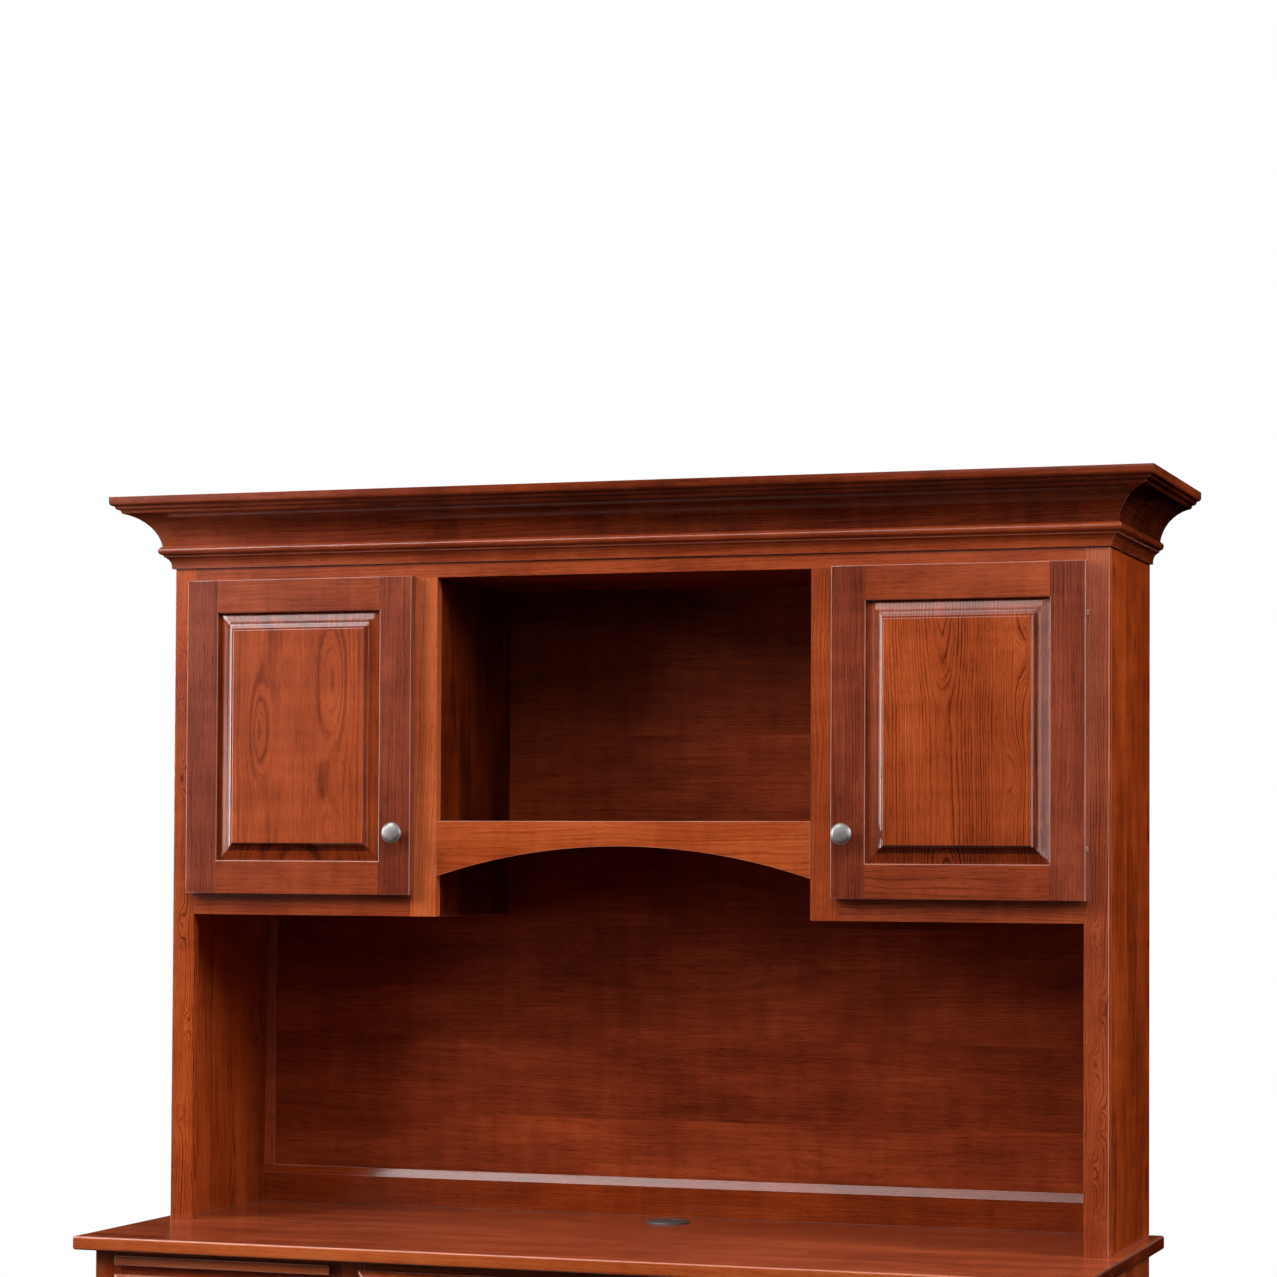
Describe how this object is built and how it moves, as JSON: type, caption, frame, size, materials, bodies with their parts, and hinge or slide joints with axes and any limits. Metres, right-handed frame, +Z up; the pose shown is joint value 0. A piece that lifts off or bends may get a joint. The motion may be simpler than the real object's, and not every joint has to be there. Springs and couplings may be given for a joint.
{
  "type": "pedestal desk with hutch",
  "caption": "Wooden pedestal desk with drawers and pull-out writing boards, under a hutch with raised-panel doors, an open cubby over an arched apron and a crown moulding.",
  "frame": {"origin": "on the floor, under the middle of the object's box", "axes": "+Z up, +Y to the back (the wall side), +X to the right of someone who sits at the desk"},
  "size_m": [1.7972, 0.674, 1.9976],
  "materials": {
    "cherry": "satin lacquer over a red-brown stain",
    "cherry_top": "semi-gloss lacquer over a red-brown stain",
    "cherry_dark": "satin lacquer over a red-brown stain, in shade",
    "cherry_panel": "satin lacquer over a red-brown stain",
    "nickel": "satin",
    "bronze": "dark bronze",
    "plastic": "matt"
  },
  "bodies": {
    "carcass": {"arched_apron": "cherry", "back_rail": "cherry_dark", "center_shelf": "cherry_dark", "crown_front": "cherry", "crown_left": "cherry", "crown_right": "cherry", "desk_back": "cherry_dark", "desktop": "cherry_top", "grommet_liner": "plastic", "hutch_back": "cherry_dark", "hutch_face_frame": "cherry", "hutch_left_partition": "cherry_dark", "hutch_left_side": "cherry", "hutch_right_partition": "cherry_dark", "hutch_right_side": "cherry", "hutch_top": "cherry_dark", "kneehole_rail": "cherry", "left_cabinet_bottom": "cherry_dark", "left_drawer_frame": "cherry", "left_inner_side": "cherry", "left_lower_hinge_case_leaf": "bronze", "left_outer_side": "cherry", "left_pedestal_bottom": "cherry_dark", "left_plinth": "cherry", "left_upper_hinge_case_leaf": "bronze", "right_cabinet_bottom": "cherry_dark", "right_drawer_frame": "cherry", "right_inner_side": "cherry", "right_lower_hinge_case_leaf": "bronze", "right_outer_side": "cherry", "right_pedestal_bottom": "cherry_dark", "right_plinth": "cherry", "right_upper_hinge_case_leaf": "bronze"},
    "left_door": {"left_door_frame": "cherry", "left_door_knob": "nickel", "left_door_panel": "cherry_panel", "left_lower_hinge_door_leaf": "bronze", "left_upper_hinge_door_leaf": "bronze"},
    "left_slide": {"left_writing_slide": "cherry"},
    "left_upper_drawer_body": {"left_upper_drawer": "cherry", "left_upper_drawer_knob": "nickel"},
    "left_middle_drawer_body": {"left_middle_drawer": "cherry", "left_middle_drawer_knob": "nickel"},
    "left_file_drawer_body": {"left_file_drawer": "cherry", "left_file_drawer_knob": "nickel"},
    "right_door": {"right_door_frame": "cherry", "right_door_knob": "nickel", "right_door_panel": "cherry_panel", "right_lower_hinge_door_leaf": "bronze", "right_upper_hinge_door_leaf": "bronze"},
    "right_slide": {"right_writing_slide": "cherry"},
    "right_upper_drawer_body": {"right_upper_drawer": "cherry", "right_upper_drawer_knob": "nickel"},
    "right_middle_drawer_body": {"right_middle_drawer": "cherry", "right_middle_drawer_knob": "nickel"},
    "right_file_drawer_body": {"right_file_drawer": "cherry", "right_file_drawer_knob": "nickel"},
    "center_drawer_body": {"center_drawer": "cherry", "center_drawer_knob": "nickel"},
    "cable_cap": {"grommet_cap": "plastic"}
  },
  "joints": [
    {"name": "left_door_hinge", "type": "hinge", "parent": "carcass", "child": "left_door", "pos_m": [-0.779, -0.0312, 1.58825], "axis": [0, 0, -1], "range_deg": [0, 105]},
    {"name": "left_writing_slide_pull", "type": "slide", "parent": "carcass", "child": "left_slide", "axis": [0, -1, 0], "range_m": [0, 0.32]},
    {"name": "left_upper_drawer_pull", "type": "slide", "parent": "carcass", "child": "left_upper_drawer_body", "axis": [0, -1, 0], "range_m": [0, 0.38]},
    {"name": "left_middle_drawer_pull", "type": "slide", "parent": "carcass", "child": "left_middle_drawer_body", "axis": [0, -1, 0], "range_m": [0, 0.38]},
    {"name": "left_file_drawer_pull", "type": "slide", "parent": "carcass", "child": "left_file_drawer_body", "axis": [0, -1, 0], "range_m": [0, 0.4]},
    {"name": "right_door_hinge", "type": "hinge", "parent": "carcass", "child": "right_door", "pos_m": [0.779, -0.0312, 1.58825], "axis": [0, 0, 1], "range_deg": [0, 105]},
    {"name": "right_writing_slide_pull", "type": "slide", "parent": "carcass", "child": "right_slide", "axis": [0, -1, 0], "range_m": [0, 0.32]},
    {"name": "right_upper_drawer_pull", "type": "slide", "parent": "carcass", "child": "right_upper_drawer_body", "axis": [0, -1, 0], "range_m": [0, 0.38]},
    {"name": "right_middle_drawer_pull", "type": "slide", "parent": "carcass", "child": "right_middle_drawer_body", "axis": [0, -1, 0], "range_m": [0, 0.38]},
    {"name": "right_file_drawer_pull", "type": "slide", "parent": "carcass", "child": "right_file_drawer_body", "axis": [0, -1, 0], "range_m": [0, 0.4]},
    {"name": "center_drawer_pull", "type": "slide", "parent": "carcass", "child": "center_drawer_body", "axis": [0, -1, 0], "range_m": [0, 0.3]},
    {"name": "cable_cap_turn", "type": "hinge", "parent": "carcass", "child": "cable_cap", "pos_m": [0.0065, 0.228, 0.762], "axis": [0, 0, 1], "continuous": true}
  ]
}
